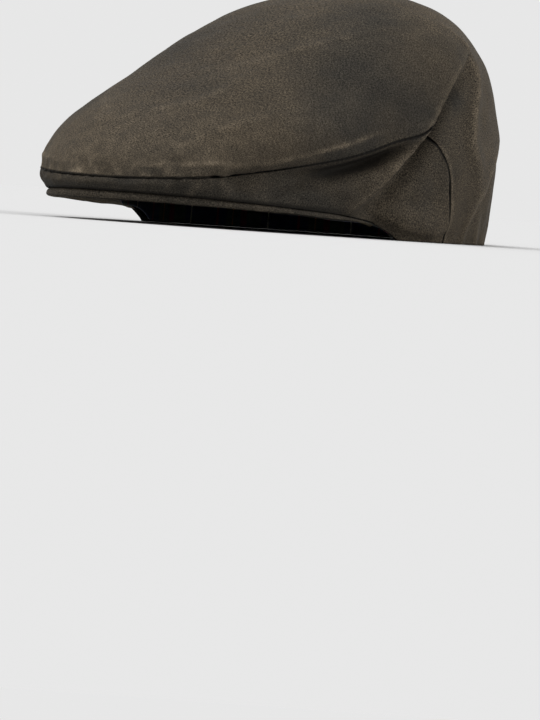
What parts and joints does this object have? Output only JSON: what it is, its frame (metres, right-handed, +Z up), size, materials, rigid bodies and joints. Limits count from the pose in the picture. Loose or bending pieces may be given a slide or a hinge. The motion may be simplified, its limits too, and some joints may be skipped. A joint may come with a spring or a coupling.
{
  "type": "flat cap",
  "caption": "Soft flat cap in dark waxed cotton with a one-piece top, a side band, a stiff covered peak and a tartan lining.",
  "frame": {"origin": "on the resting plane, under the middle of the cap's length and width", "axes": "+Z up, -Y towards the peak, +X towards the wearer's left"},
  "size_m": [0.1804, 0.2534, 0.1189],
  "materials": {
    "waxed_cotton": "dark olive-brown waxed cotton, matt with a faint sheen",
    "tartan_cotton": null
  },
  "bodies": {
    "root": {"top_panel": "waxed_cotton", "side_panel": "waxed_cotton", "peak": "waxed_cotton", "lining": "tartan_cotton", "sweatband": "tartan_cotton"}
  },
  "joints": []
}
